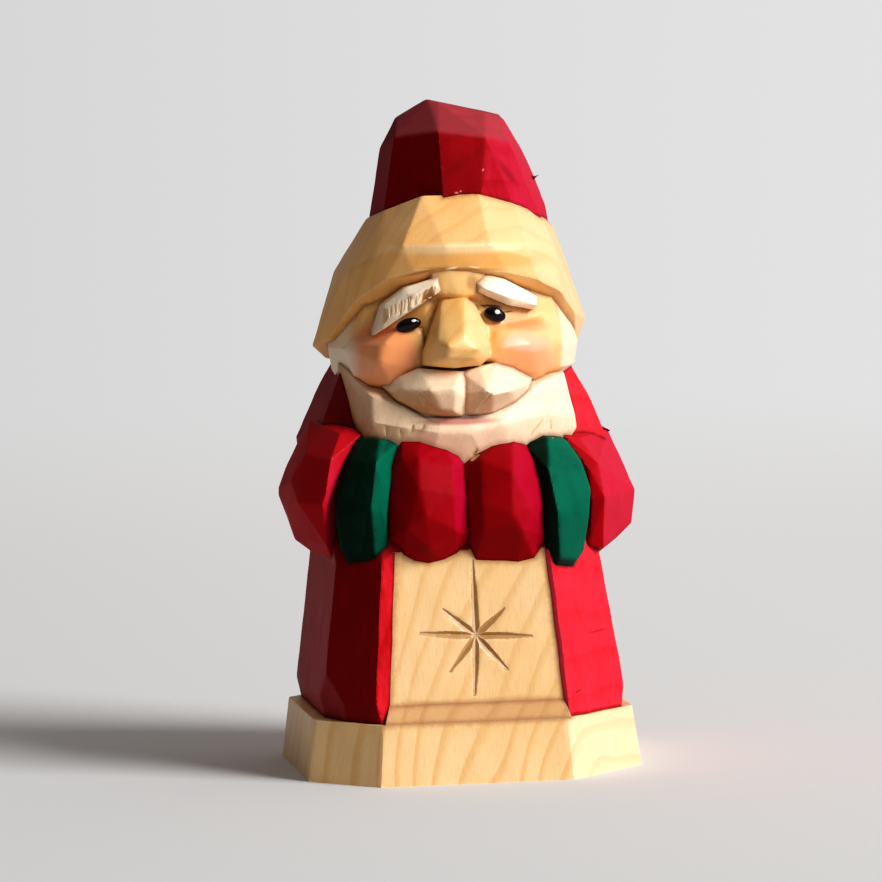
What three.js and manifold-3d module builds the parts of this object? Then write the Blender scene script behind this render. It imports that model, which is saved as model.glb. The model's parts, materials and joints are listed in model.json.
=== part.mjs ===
// A small Father Christmas, whittled in one piece with its eight-sided base from square basswood stock.
// Millimetres, +Z up, the front faces -Y, and the origin is the middle of the underside.
import * as THREE from "three";
import { ConvexGeometry } from "three/addons/geometries/ConvexGeometry.js";
import { mergeVertices } from "three/addons/utils/BufferGeometryUtils.js";
import Module from "manifold-3d";

// Sizes that can be set by themselves
const stockSide = 50; // side of the square stock; the figure's carving is laid out in fiftieths of it
const baseHeight = 8.5;
const baseFlare = 1.1; // how far the base's foot reaches beyond its top, all round
const baseLedge = 1.2; // the flat of the base that shows round the coat
const apronDepth = 1.1; // how far the apron lies behind the coat's two front edges
const apronFoot = 2.4; // height of the sloping cut between the apron and the base
const grooveWidth = 1.1; // the star's cuts at their widest
const grooveDepth = 0.7;
const share = stockSide / 50;

const wasm = await Module();
wasm.setup();

// A closed three.js geometry as a solid that can be joined and cut
function solidOf(geometry) {
  const bare = geometry.clone();
  bare.deleteAttribute("normal");
  bare.deleteAttribute("uv");
  const merged = mergeVertices(bare, 1e-4);
  const vertProperties = new Float32Array(merged.attributes.position.array);
  const triVerts = new Uint32Array(merged.index.array);
  return new wasm.Manifold(new wasm.Mesh({ numProp: 3, vertProperties, triVerts }));
}

// The flat-faced form that the knife leaves round a set of corners, given in millimetres
function hull(corners) {
  return solidOf(new ConvexGeometry(corners.map((corner) => new THREE.Vector3(...corner))));
}

// A corner of the carving: shares across and along, and a height over the base
const place = ([x, y, height]) => [x * share, y * share, baseHeight + height * share];

// Plans are unit outlines of [across, along] pairs, along = -1 being the front or the near side
function oval(sides, turn) {
  return Array.from({ length: sides }, (_, corner) => {
    const angle = THREE.MathUtils.degToRad(turn + (corner * 360) / sides);
    return [Math.sin(angle), -Math.cos(angle)];
  });
}

// A square with its corners taken off, each cut a share of the half side
function eightSided(leftCut, rightCut, backCut) {
  const [left, right, back] = [1 - leftCut, 1 - rightCut, 1 - backCut];
  return [
    [-1, -left], [-left, -1], [right, -1], [1, -right],
    [1, back], [back, 1], [-back, 1], [-1, back],
  ];
}

const between = (low, high, at) => (low + high) / 2 + (at * (high - low)) / 2;

// An upright form pared in levels. Each level gives its height, how far it reaches to the left, right,
// front and back, how much it dips towards the back, and how much it falls to the right
function upright(plan, levels, peaks = []) {
  const ring = ([height, left, right, front, back, dip = 0, fall = 0]) => plan.map(([u, v]) => {
    const [x, y] = [between(left, right, u), between(front, back, v)];
    return place([x, y, height - dip * (y - front) - fall * x]);
  });
  return hull([...levels.flatMap(ring), ...peaks.map(place)]);
}

// A form that lies across the figure, pared in stations: place, front, back, lowest and highest
function across(plan, stations) {
  return hull(stations.flatMap(([x, front, back, low, high]) => plan.map(([u, v]) => place([
    x, between(front, back, v), between(low, high, u),
  ]))));
}

// A form that stands out of the front, pared in stations: place, left, right, lowest and highest
function boss(plan, stations) {
  return hull(stations.flatMap(([y, left, right, low, high]) => plan.map(([u, v]) => place([
    between(left, right, u), y, between(low, high, v),
  ]))));
}

// One knife stroke takes off all that stands beyond a plane, given by a point on it and the way it faces
function stroke(solid, point, facing) {
  const size = 8 * stockSide; // far larger than the figure
  const block = new THREE.BoxGeometry(size, size, size).translate(0, 0, size / 2);
  const up = new THREE.Vector3(0, 0, 1);
  const turn = new THREE.Quaternion().setFromUnitVectors(up, new THREE.Vector3(...facing).normalize());
  block.applyQuaternion(turn).translate(...place(point));
  return solid.subtract(solidOf(block));
}

const join = (solids) => solids.reduce((whole, solid) => whole.add(solid));

// The coat's skirt follows the stock: eight sides, the two front corners pared into broad flaps
const coatPlan = eightSided(0.3, 0.43, 0.38);
const coatFoot = { height: 4, left: -21.6, right: 21.9, front: -22.4, back: 21.8 };
const coatTop = { height: 21.6, left: -19.3, right: 18.9, front: -20.9, back: 20 };

function skirt() {
  const tuck = 0.7;
  const { height, left, right, front, back } = coatFoot;
  const block = upright(coatPlan, [
    [-0.5, left + tuck, right - tuck, front + tuck, back - tuck],
    [height, left, right, front, back],
    [coatTop.height, coatTop.left, coatTop.right, coatTop.front, coatTop.back],
  ]);
  return stroke(block, [-20.9, -14.6, 4], [-0.93, -0.36, 0.13]);
}

// The coat goes on up into the shoulders, whose front is hidden by the beard and the arms
function shoulders() {
  return upright(coatPlan, [
    [coatTop.height, coatTop.left, coatTop.right, coatTop.front, coatTop.back],
    [38, -20.2, 21.2, -13, 18.2],
    [44, -17.6, 18.7, -11, 16.8],
    [48.5, -15.9, 16.2, -9, 15.6],
    [53, -13.5, 13.5, -6, 13.5],
  ]);
}

// The apron is the coat's front, let in between the two flaps
const apronLeft = [-14.2, -12.4]; // at the skirt's foot and top
const apronRight = [12.1, 9.7];
const apronWall = { left: 1.2, right: 0.9 }; // how far its walls lean outwards for each share of depth

// How far forward the apron's face lies at a height over the base, in shares
function apronFace(height) {
  const rise = (height - coatFoot.height) / (coatTop.height - coatFoot.height);
  return coatFoot.front + rise * (coatTop.front - coatFoot.front) + apronDepth / share;
}

function apronCut() {
  const reach = 4;
  const over = 2;
  const corners = [0, coatTop.height + over].flatMap((height, end) => {
    const face = apronFace(height);
    return [
      [apronLeft[end], face, height],
      [apronRight[end], face, height],
      [apronLeft[end] - reach * apronWall.left, face - reach, height],
      [apronRight[end] + reach * apronWall.right, face - reach, height],
    ];
  });
  return hull(corners.map(place));
}

// The slope at the apron's foot runs out to the front edge of the base
function apronSlope() {
  const edge = coatFoot.front - baseLedge / share;
  const foot = apronFoot / share;
  const [inside, under, lap] = [-15, -1, 0.3];
  return hull([apronLeft[0] - lap, apronRight[0] + lap].flatMap((x) => [
    [x, edge, 0], [x, apronFace(foot), foot], [x, inside, foot], [x, inside, under],
  ]).map(place));
}

// The star: one long upright cut, one level cut and two short slanting ones, each a pair of tapering rays
const starCentre = [-0.6, 11.7];
const starRays = [
  { angle: 90.5, length: 10.6 }, { angle: 267, length: 8.4 },
  { angle: 175.5, length: 8 }, { angle: 358, length: 8 },
  { angle: 140, length: 6 }, { angle: 42, length: 5.6 },
  { angle: 232, length: 6.2 }, { angle: 311, length: 6.6 },
];

// Each ray is a V cut that narrows and rises from the centre: place along it, width and depth
const rayTaper = [[0.6, 0.9], [1, 0.3]];

function starCuts() {
  const [cx, cz] = starCentre;
  const proud = 0.6; // how far the cutting form stands out of the apron
  return starRays.map(({ angle, length }) => {
    const turn = THREE.MathUtils.degToRad(angle);
    const [dx, dz] = [Math.cos(turn), Math.sin(turn)];
    const section = (along, wide, deep) => {
      const [x, z] = [cx + dx * along, cz + dz * along];
      const face = apronFace(z);
      const flare = wide * (1 + proud / deep);
      return [
        [x, face + deep, z],
        [x - dz * flare, face - proud, z + dx * flare],
        [x + dz * flare, face - proud, z - dx * flare],
      ];
    };
    const [wide, deep] = [grooveWidth / 2 / share, grooveDepth / share];
    return hull([
      ...section(-wide, wide, deep),
      ...rayTaper.flatMap(([along, size]) => section(length * along, wide * size, deep * size)),
    ].map(place));
  });
}

// The base keeps the coat's place: its top stands a ledge out from the coat's foot
function base() {
  const plan = eightSided(0.41, 0.5, 0.42);
  const level = (z, out) => plan.map(([u, v]) => [
    between(coatFoot.left * share - out, coatFoot.right * share + out, u),
    between(coatFoot.front * share - out, coatFoot.back * share + out, v),
    z,
  ]);
  return hull([...level(0, baseLedge + baseFlare), ...level(baseHeight, baseLedge)]);
}

// A sleeve bulges at the elbow and comes forward to the cuff
function sleeves() {
  const plan = oval(8, 0);
  return [
    across(plan, [
      [-25.2, -7.5, 1, 28.8, 32.3],
      [-24, -11, 4, 26.2, 35.6],
      [-21.6, -15.2, 7.4, 23.2, 40.6],
      [-18.5, -18.6, 9, 21.4, 42.4],
      [-12, -20, 6, 21.8, 41.6],
    ]),
    across(plan, [
      [12, -19.5, 6, 21.6, 40.6],
      [18.2, -17.6, 9, 21.2, 40.4],
      [21.6, -14, 8, 22.9, 39.4],
      [23.8, -10.5, 5, 24.7, 35],
      [25, -7, 1.5, 27.2, 31],
    ]),
  ];
}

// The turned cuffs are thick rings, a little proud of the sleeves and the mittens
function cuffs() {
  const plan = oval(8, 22.5);
  return [
    across(plan, [
      [-19.6, -16.5, -8, 25, 36.8],
      [-18, -19.8, -6, 22, 39.4],
      [-14.8, -22.8, -8, 20.9, 40],
      [-12.8, -22, -8, 21.4, 39.2],
    ]),
    across(plan, [
      [8.6, -21.6, -8, 21.4, 38.6],
      [10, -23, -8, 19.4, 39.8],
      [13.4, -21.8, -6, 19.2, 39.4],
      [16.1, -18.4, -6, 21.8, 37.4],
    ]),
  ];
}

// The mittens are two round lumps that meet in the middle
function mittens() {
  return [
    across(oval(8, 12), [
      [-13, -21, -11, 22.8, 37.2],
      [-11.2, -22.8, -11, 21.2, 38.6],
      [-7.8, -24.3, -11, 20.8, 39.2],
      [-4.4, -23.9, -11, 21.4, 37.8],
      [-2.4, -22, -11, 23.8, 35.6],
    ]),
    across(oval(8, -12), [
      [-2.8, -22, -11, 23.8, 35.6],
      [-0.9, -23.7, -11, 22.2, 37],
      [3, -24.3, -11, 21, 38.2],
      [6.6, -23.7, -11, 20.9, 38.2],
      [8.8, -21.8, -11, 22, 36.6],
    ]),
  ];
}

// The beard is a band below the cheeks that runs down behind the mittens
function beard() {
  return upright(oval(9, -20), [
    [28, -13, 11, -18.4, 6],
    [37, -16.4, 15.6, -19.6, 8],
    [43, -17.4, 17, -19.2, 10],
    [48.5, -15.6, 15.6, -15.6, 10],
  ]);
}

// The head, with its whiskers down the sides
function head() {
  return upright(oval(10, -20), [
    [45.6, -14, 14.2, -14, 12],
    [48.6, -17.3, 17.6, -17.2, 14],
    [51.4, -18, 18.1, -17.8, 14],
    [57.6, -16.6, 15.6, -16.8, 13.4],
    [68, -15, 14, -15, 12.6, 0.35],
  ]);
}

// Nose, cheeks, brows and the two halves of the moustache stand out of the head
function face() {
  const nose = upright(oval(7, 12), [
    [49.2, -6.2, 1.8, -21.4, -14],
    [51, -7.1, 2.7, -23.6, -14],
    [53.2, -6.5, 2.3, -23.2, -14],
    [56, -5.1, 1.8, -21, -13],
    [59.8, -4.1, 0.2, -18.4, -13],
  ]);
  const cheeks = [
    boss(oval(7, 10), [
      [-12, -15.4, -5.8, 45.6, 54.6],
      [-17.4, -14.2, -6.2, 46.2, 54],
      [-18.9, -12.2, -7.4, 48, 52.4],
    ]),
    boss(oval(7, -10), [
      [-12, 2.6, 14.6, 47, 56],
      [-17.4, 3, 13.6, 47.6, 55.4],
      [-19, 4.6, 10.6, 49.2, 53.6],
    ]),
  ];
  const brows = [
    across(oval(5, 0), [
      [-15.4, -16, -12, 52, 54.2],
      [-10, -18.6, -12, 54.9, 58.5],
      [-4.4, -19, -12, 58, 61],
    ]),
    across(oval(5, 0), [
      [1, -19, -12, 58.9, 61.5],
      [5, -18.4, -12, 57.6, 60.2],
      [10, -16.6, -12, 55.8, 57.8],
    ]),
  ];
  const moustache = [
    across(oval(6, 0), [
      [-12.8, -16.6, -12, 46.2, 47.2],
      [-9.6, -19.8, -12, 43.6, 49],
      [-5.4, -21.7, -12, 42.1, 49.2],
      [-2.4, -21.7, -12, 42.1, 48.4],
      [-1.4, -20.2, -12, 42.8, 47.8],
    ]),
    across(oval(6, 0), [
      [-1.6, -20.2, -12, 42.8, 47.8],
      [-0.4, -21.4, -12, 42.2, 48.8],
      [3.4, -21.6, -12, 42.6, 49.8],
      [6.6, -19.8, -12, 44, 49.2],
      [9.4, -16.6, -12, 46.8, 47.8],
    ]),
  ];
  return [nose, ...cheeks, ...brows, ...moustache];
}

// The hat's brim is a bare band that stands high on the forehead and hangs down over the ears
function brim() {
  const band = upright(oval(9, -25), [
    [63.2, -18.7, 18.3, -17.4, 16.4, 0.64, 0.05],
    [66.7, -19.7, 19.4, -18.8, 17.4, 0.66, 0.02],
    [70.4, -16.6, 16.6, -15.9, 15.8, 0.42],
    [73, -12.6, 15.6, -13.4, 14.6, 0.35],
  ]);
  return stroke(band, [0, 10, 50.5], [0, 0.15, -1]);
}

// The crown flares a little where it meets the brim, and its top is pared like a hipped roof
function crown() {
  const plan = oval(9, -20);
  const flare = upright(plan, [
    [66, -11.2, 16, -14, 14.4, 0.35],
    [70, -10.2, 14.8, -12.6, 13.6, 0.2],
    [75.5, -9.8, 12.9, -11.3, 12],
  ]);
  const cap = upright(plan, [
    [75.5, -9.8, 12.9, -11.3, 12],
    [79.3, -9.4, 11, -10.6, 11.2],
    [81.3, -8.3, 9.7, -10.2, 10.6],
    [83.9, -6.9, 8, -7.1, 7.6],
  ], [[-2.4, -4, 86.2], [-2.4, 4, 86.2]]);
  return [flare, cap];
}

const coat = [apronCut(), ...starCuts()].reduce(
  (solid, cut) => solid.subtract(cut),
  skirt().add(shoulders()),
);

const figure = join([
  base(),
  coat,
  apronSlope(),
  ...sleeves(),
  ...cuffs(),
  ...mittens(),
  beard(),
  head(),
  ...face(),
  brim(),
  ...crown(),
]);

// The finished solid as a three.js mesh
function meshOf(solid, name, material) {
  const { vertProperties, triVerts } = solid.getMesh();
  const geometry = new THREE.BufferGeometry();
  geometry.setAttribute("position", new THREE.BufferAttribute(new Float32Array(vertProperties), 3));
  geometry.setIndex(new THREE.BufferAttribute(new Uint32Array(triVerts), 1));
  geometry.computeVertexNormals();
  const mesh = new THREE.Mesh(geometry, material);
  mesh.name = name;
  return mesh;
}

const paintedBasswood = new THREE.MeshStandardMaterial({
  color: 0xb3122a,
  roughness: 0.5,
  metalness: 0,
  flatShading: true,
});

const model = new THREE.Group();
model.add(meshOf(figure, "santa_figure", paintedBasswood));
export default model;
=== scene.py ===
"""A small santa figure, whittled in one piece from a block of basswood, painted and oiled."""
import json
import math
import random

import bmesh
import bpy
from mathutils import Matrix, Vector, noise
from mathutils.bvhtree import BVHTree
from mathutils.kdtree import KDTree

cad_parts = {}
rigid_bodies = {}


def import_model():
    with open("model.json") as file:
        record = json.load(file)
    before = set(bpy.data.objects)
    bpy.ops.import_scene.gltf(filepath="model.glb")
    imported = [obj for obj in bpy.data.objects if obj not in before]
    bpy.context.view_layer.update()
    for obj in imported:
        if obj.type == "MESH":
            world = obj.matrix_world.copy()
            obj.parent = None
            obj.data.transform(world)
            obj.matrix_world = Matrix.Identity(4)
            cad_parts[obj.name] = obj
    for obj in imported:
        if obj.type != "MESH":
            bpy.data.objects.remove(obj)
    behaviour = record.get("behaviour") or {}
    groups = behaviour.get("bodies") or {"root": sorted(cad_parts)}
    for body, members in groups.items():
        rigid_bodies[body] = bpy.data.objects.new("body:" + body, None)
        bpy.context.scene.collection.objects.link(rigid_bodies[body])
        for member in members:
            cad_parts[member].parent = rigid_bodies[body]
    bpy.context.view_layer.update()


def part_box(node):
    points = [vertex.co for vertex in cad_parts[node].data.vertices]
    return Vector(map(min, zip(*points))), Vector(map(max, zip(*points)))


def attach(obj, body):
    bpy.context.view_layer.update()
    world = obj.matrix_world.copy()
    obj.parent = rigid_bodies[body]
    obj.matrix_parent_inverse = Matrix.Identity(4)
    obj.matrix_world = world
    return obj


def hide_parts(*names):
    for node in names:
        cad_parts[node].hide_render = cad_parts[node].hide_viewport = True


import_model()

# The base. It is the foot of the square basswood block that the whole figure is whittled from, left bare
# under a coat of oil. Its sides flare a little towards the foot, and its corners are taken off with long
# strokes. The growth rings run down the block askew, so they show as slanting lines on the front.
real_height = 94.7  # millimetres
foot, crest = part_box("santa_figure")
mm = (crest.z - foot.z) / real_height  # a millimetre of the real figure, in the scene's metres
base_height = 8.5
base_foot = {"height": -base_height, "left": -23.9, "right": 24.2, "front": -24.7, "back": 24.1}
base_top = {"height": 0.0, "left": -22.8, "right": 23.1, "front": -23.6, "back": 23.0}
base_corners = {"front_left": 0.37, "front_right": 0.50, "back_right": 0.42, "back_left": 0.42}
pale_wood = (0.87, 0.60, 0.31)
tan_wood = (0.80, 0.45, 0.15)
oil_stain = (0.34, 0.14, 0.04)
# The pale tone of painted highlight on bare wood.
painted_highlight_wood = (0.95, 0.86, 0.70)
worn_ridge = (0.96, 0.84, 0.62)


def wire(tree, socket, value):
    """Links another node's output to a socket, or sets it to a number or to a colour of three parts."""
    if isinstance(value, bpy.types.NodeSocket):
        tree.links.new(value, socket)
    else:
        socket.default_value = (*value, 1) if isinstance(value, (tuple, list)) else value


def maths(tree, operation, *values, clamp=False):
    node = tree.nodes.new("ShaderNodeMath")
    node.operation = operation
    node.use_clamp = clamp
    for socket, value in zip(node.inputs, values):
        wire(tree, socket, value)
    return node.outputs[0]


def times(tree, first, second):
    return maths(tree, "MULTIPLY", first, second)


def apart(tree, across, along):
    """How far apart two places are, from how far apart they are each way."""
    return maths(tree, "SQRT", maths(tree, "ADD", times(tree, across, across), times(tree, along, along)))


def uneven(tree, pattern, strength):
    """A pattern from 0 to 1 as an unevenness about 0."""
    return times(tree, maths(tree, "SUBTRACT", pattern, 0.5), strength)


def between(tree, value, low, high, to_low=0.0, to_high=1.0):
    """A smooth step from one value to another."""
    node = tree.nodes.new("ShaderNodeMapRange")
    node.interpolation_type = "SMOOTHSTEP"
    for index, entry in enumerate((value, low, high, to_low, to_high)):
        wire(tree, node.inputs[index], entry)
    return node.outputs[0]


def mixed(tree, factor, first, second):
    node = tree.nodes.new("ShaderNodeMix")
    node.data_type = "RGBA"
    for index, value in ((0, factor), (6, first), (7, second)):
        wire(tree, node.inputs[index], value)
    return node.outputs[2]


def tinted(tree, colour, mask, share, tint):
    """A colour with a share of a tint in it where a mask is 1."""
    return mixed(tree, times(tree, mask, share), colour, tint)


def place_in(tree, scale=(1, 1, 1), turn=(0, 0, 0), shift=(0, 0, 0)):
    """The place on the figure in millimetres, which may be stretched, turned or shifted for a pattern."""
    where = tree.nodes.new("ShaderNodeTexCoord").outputs["Object"]
    node = tree.nodes.new("ShaderNodeMapping")
    wire(tree, node.inputs["Vector"], where)
    node.inputs["Scale"].default_value = [axis / mm for axis in scale]
    node.inputs["Rotation"].default_value = [math.radians(angle) for angle in turn]
    node.inputs["Location"].default_value = shift
    return node.outputs[0]


def split(tree, place):
    """How far a place lies to the right, to the back and up."""
    node = tree.nodes.new("ShaderNodeSeparateXYZ")
    wire(tree, node.inputs[0], place)
    return node.outputs


def measured(tree, name):
    """A measure that the finished mesh carries, such as millimetres to the nearest ridge."""
    node = tree.nodes.new("ShaderNodeAttribute")
    node.attribute_name = name
    return node.outputs["Fac"]


def mottle(tree, scale, detail=2.0, roughness=0.5, distortion=0.0):
    """Uneven patches, which are the shorter along an axis the larger its scale."""
    node = tree.nodes.new("ShaderNodeTexNoise")
    for name, value in (("Vector", place_in(tree, scale)), ("Scale", 1.0), ("Detail", detail),
                        ("Roughness", roughness), ("Distortion", distortion)):
        wire(tree, node.inputs[name], value)
    return node.outputs["Fac"]


def group_of(name, inputs, outputs):
    """A new shader node group with named inputs and outputs."""
    tree = bpy.data.node_groups.new(name, "ShaderNodeTree")
    for label, value in inputs.items():
        socket = tree.interface.new_socket(label, in_out="INPUT", socket_type="NodeSocketFloat")
        socket.default_value = value
    for label in outputs:
        tree.interface.new_socket(label, in_out="OUTPUT", socket_type="NodeSocketFloat")
    return tree, tree.nodes.new("NodeGroupInput").outputs, tree.nodes.new("NodeGroupOutput").inputs


def grain_group():
    """Growth rings round a pith that lies outside the block, and the fine fibres along it."""
    tree, given, out = group_of("basswood_grain", {"Spacing": 3.2, "Waver": 3.0},
                                ("Rings", "Fibres", "Clouds"))
    across, along, _ = split(tree, place_in(tree, turn=(-30, -5, 0), shift=(-38.7, 33, 0)))
    drift = uneven(tree, mottle(tree, (0.04, 0.04, 0.02)), times(tree, given["Waver"], 4.0))
    radius = maths(tree, "ADD", apart(tree, across, along), drift)
    phase = maths(tree, "FRACT", maths(tree, "DIVIDE", radius, given["Spacing"]))
    rise = between(tree, phase, 0.55, 0.88)
    fall = between(tree, phase, 0.90, 1.0, 1.0, 0.0)
    wire(tree, out["Rings"], times(tree, rise, fall))
    wire(tree, out["Fibres"], mottle(tree, (5.0, 5.0, 0.35), 3.0, 0.65))
    wire(tree, out["Clouds"], mottle(tree, (0.12, 0.12, 0.05)))
    return tree


def wear_group():
    """Where the figure is worn, and how near a groove is, from how far the nearest ridge and groove are."""
    tree, given, out = group_of("knife_edge_wear", {"Ridge Width": 0.12, "Groove Width": 0.7},
                                ("Ridge", "Groove"))
    ragged = mottle(tree, (1.1, 1.1, 1.1), 3.0, 0.7)
    for name, power in (("Ridge", 1.0), ("Groove", 1.6)):
        reach = times(tree, given[f"{name} Width"], times(tree, ragged, 2.0))
        away = maths(tree, "DIVIDE", measured(tree, f"to_{name.lower()}"), reach)
        near = maths(tree, "SUBTRACT", 1.0, away, clamp=True)
        wire(tree, out[name], maths(tree, "POWER", near, power))
    return tree


grain = grain_group()
wear = wear_group()


def placed_group(tree, group, **inputs):
    node = tree.nodes.new("ShaderNodeGroup")
    node.node_tree = group
    for name, value in inputs.items():
        node.inputs[name.replace("_", " ")].default_value = value
    return node.outputs


def new_finish(name, roughness, coat=0.0):
    """A material with its Principled shader, whose plain numbers are set on its own sockets."""
    finish = bpy.data.materials.new(name)
    finish.use_nodes = True
    tree = finish.node_tree
    shader = next(node for node in tree.nodes if node.type == "BSDF_PRINCIPLED")
    shader.inputs["Roughness"].default_value = roughness
    shader.inputs["Coat Weight"].default_value = coat
    shader.inputs["Coat Roughness"].default_value = 0.35
    return finish, tree, shader


def surfaced(tree, shader, colour, marks, strength):
    """Gives a shader its colour, and a bump for the fine marks of grain and knife."""
    wire(tree, shader.inputs["Base Color"], colour)
    node = tree.nodes.new("ShaderNodeBump")
    node.inputs["Strength"].default_value = strength
    node.inputs["Distance"].default_value = 0.05 * mm
    wire(tree, node.inputs["Height"], marks)
    wire(tree, shader.inputs["Normal"], node.outputs[0])


def wood_colour(tree, pale, tan, stain, rings, near_groove=0.3, painted_highlight=0.3):
    """Bare wood: pale, with tan growth rings and fibres, darker near grooves, and painted light and shade.
    """
    seen = placed_group(tree, grain)
    worn = placed_group(tree, wear, Groove_Width=0.9)
    colour = tinted(tree, pale, between(tree, seen["Clouds"], 0.35, 0.7), 0.35, tan)
    line = [part * 0.85 + dark * 0.15 for part, dark in zip(tan, stain)]
    colour = tinted(tree, colour, seen["Rings"], rings, line)
    colour = tinted(tree, colour, between(tree, seen["Fibres"], 0.45, 0.75), 0.16, stain)
    colour = mixed(tree, between(tree, measured(tree, "to_groove"), 0.0, 2.2, near_groove, 0.0), colour, tan)
    # Painted shade turns the facets that face left and down tan.
    colour = tinted(tree, colour, measured(tree, "painted_shade"), 0.35, tan)
    # Painted highlight whitens the facets that face the right.
    highlight_share = between(tree, measured(tree, "painted_light"), 0.45, 0.87, 0.0, painted_highlight)
    colour = mixed(tree, highlight_share, colour, painted_highlight_wood)
    colour = tinted(tree, colour, worn["Ridge"], 0.5, worn_ridge)
    return tinted(tree, colour, worn["Groove"], 0.75, stain), seen["Fibres"]


def bare_wood(name, pale, tan, stain, rings):
    finish, tree, shader = new_finish(name, 0.42, 0.12)
    colour, fibres = wood_colour(tree, pale, tan, stain, rings)
    surfaced(tree, shader, colour, fibres, 0.5)
    return finish


scene = bpy.context.scene


def tray(name):
    """A collection that holds carved forms until they are joined."""
    group = bpy.data.collections.new(name)
    scene.collection.children.link(group)
    return group


def set_in(group, name, data):
    """A new object in a collection."""
    thing = bpy.data.objects.new(name, data)
    group.objects.link(thing)
    return thing


forms = tray("carved_forms")


def flat_faces(bm):
    """Joins the corners with the flat faces that the knife leaves between them."""
    hull = bmesh.ops.convex_hull(bm, input=bm.verts)
    loose = hull["geom_interior"] + hull["geom_unused"]
    inside = {part for part in loose if isinstance(part, bmesh.types.BMVert)}
    bmesh.ops.delete(bm, geom=list(inside), context="VERTS")
    bmesh.ops.delete(bm, geom=[edge for edge in bm.edges if not edge.link_faces], context="EDGES")


def squared(*levels):
    """A form of square levels, each of whose corners is taken off by a share of the half side."""
    bm = bmesh.new()
    for edges, shares in levels:
        for corner, share in shares.items():
            near, side = corner.split("_")
            inward_x = (edges["left"] + edges["right"]) / 2 - edges[side]
            inward_y = (edges["front"] + edges["back"]) / 2 - edges[near]
            for across, along in ((share, 0), (0, share)):
                place = edges[side] + inward_x * across, edges[near] + inward_y * along, edges["height"]
                bmesh.ops.create_vert(bm, co=place)
    flat_faces(bm)
    return bm


def carved(bm, name, finishes, group=forms, choose=None, smooth=False):
    """A finished form: puts it in its place over the base and turns it into metres."""
    if not smooth:
        bmesh.ops.dissolve_limit(bm, angle_limit=math.radians(2), verts=bm.verts, edges=bm.edges)
    bmesh.ops.recalc_face_normals(bm, faces=bm.faces)
    if choose:
        for face in bm.faces:
            face.material_index = choose(face)
    bmesh.ops.triangulate(bm, faces=bm.faces)
    bmesh.ops.translate(bm, vec=(0, 0, base_height), verts=bm.verts)
    bmesh.ops.scale(bm, vec=(mm, mm, mm), verts=bm.verts)
    mesh = bpy.data.meshes.new(name)
    bm.to_mesh(mesh)
    bm.free()
    for finish in finishes:
        mesh.materials.append(finish)
    return set_in(group, name, mesh)


oiled_wood = bare_wood("oiled_basswood", pale_wood, tan_wood, oil_stain, 0.68)
carved(squared((base_foot, base_corners), (base_top, base_corners)), "base", [oiled_wood])

# The coat. Its skirt follows the block too, with broad flaps at the front corners, bevelled at the foot.
# Its shoulders slope up under the head. It is painted with thin red acrylic that lets the wood show.
skirt_foot = {"height": -0.5, "left": -22.05, "right": 22.45, "front": -22.75, "back": 22.2}
skirt_top = {"height": 21.6, "left": -19.3, "right": 18.9, "front": -20.9, "back": 20.0}
coat_corners = {"front_left": 0.30, "front_right": 0.47, "back_right": 0.38, "back_left": 0.38}
foot_bevels = [((-0.93, -0.36), (-20.9, -14.6), 4.0), ((-1, 0), (-21.7, 0), 3.4),
               ((-0.71, -0.71), (-18.4, -18.9), 1.9), ((0.71, -0.71), (17.4, -17.7), 2.4),
               ((1, 0), (21.9, 0), 3.0), ((0, 1), (0, 21.8), 3.4), ((0.71, 0.71), (17.8, 17.9), 3.0),
               ((-0.71, 0.71), (-17.6, 17.9), 3.6)]
shoulder_core = {"height": 15, "left": -12, "right": 12, "front": -12, "back": 12}
shoulder_levels = [(38, -21.0, 21.2, -13, 18.2, 0.4), (44, -18.6, 18.9, -11, 16.8, 0.5),
                   (48.5, -16.5, 16.4, -9, 15.0, 0.64), (53, -13.5, 13.5, -6, 11.5, 0.64)]
chipped_paint = (0.75, 0.30, 0.26)
# A light red for the let-in's right wall, which faces left into shade, as painted light.
bevel_red_painted_light = (0.76, 0.05, 0.10)


def spot(tree, x, height, wide, tall, turn, soft):
    """A mask that is 1 inside a turned ellipse on the front, given its half width and half height."""
    cosine, sine = math.cos(math.radians(turn)), math.sin(math.radians(turn))
    east, north, up = split(tree, place_in(tree, shift=(-x, 0, -height - base_height)))
    along = maths(tree, "ADD", times(tree, east, cosine / wide), times(tree, up, sine / wide))
    over = maths(tree, "SUBTRACT", times(tree, up, cosine / tall), times(tree, east, sine / tall))
    inside = between(tree, apart(tree, along, over), 1 - soft, 1 + soft, 1.0, 0.0)
    return times(tree, inside, between(tree, north, -9, -7, 1.0, 0.0))


def touched(tree, colour, share, tint, *places):
    """A colour with a tint brushed on in one or more spots."""
    mask = spot(tree, *places[0])
    for place in places[1:]:
        mask = maths(tree, "MAXIMUM", mask, spot(tree, *place))
    return tinted(tree, colour, mask, share, tint)


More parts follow.
